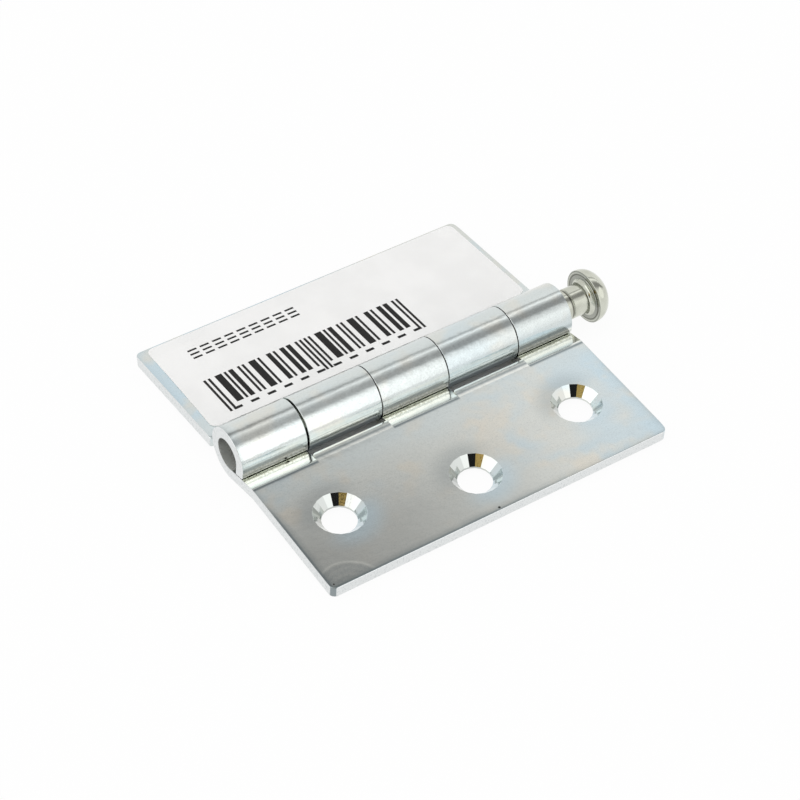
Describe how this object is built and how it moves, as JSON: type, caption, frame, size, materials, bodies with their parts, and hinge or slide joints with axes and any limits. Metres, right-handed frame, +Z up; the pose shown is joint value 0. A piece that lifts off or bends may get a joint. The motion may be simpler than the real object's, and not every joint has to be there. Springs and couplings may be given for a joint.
{
  "type": "butt hinge",
  "caption": "Flat steel butt hinge with a rolled barrel, countersunk screw holes and a loose domed pin drawn part of the way out.",
  "frame": {"origin": "on the table, under the pin axis, midway along the overall length with the pin drawn out as shown", "axes": "+X along the pin axis towards the pin's head, -Y towards the front leaf's free edge, +Z up"},
  "size_m": [0.092, 0.0776, 0.0118],
  "materials": {
    "front_leaf": "zinc plated, pale blue passivated",
    "rear_leaf": "zinc plated, pale blue passivated",
    "hinge_pin": "bright plated, slightly warm",
    "paper_label": "smooth white",
    "label_print": "matt black print"
  },
  "bodies": {
    "front_leaf": {"front_leaf": "front_leaf"},
    "rear_leaf": {"rear_leaf": "rear_leaf", "paper_label": "paper_label", "label_print": "label_print"},
    "pin": {"hinge_pin": "hinge_pin"}
  },
  "joints": [
    {"name": "leaf_swing", "type": "hinge", "parent": "front_leaf", "child": "rear_leaf", "pos_m": [0, 0, 0.00592], "axis": [1, 0, 0], "range_deg": [-112, 189.5]},
    {"name": "pin_slide", "type": "slide", "parent": "front_leaf", "child": "pin", "axis": [1, 0, 0], "range_m": [-0.0067, 0.075]}
  ]
}
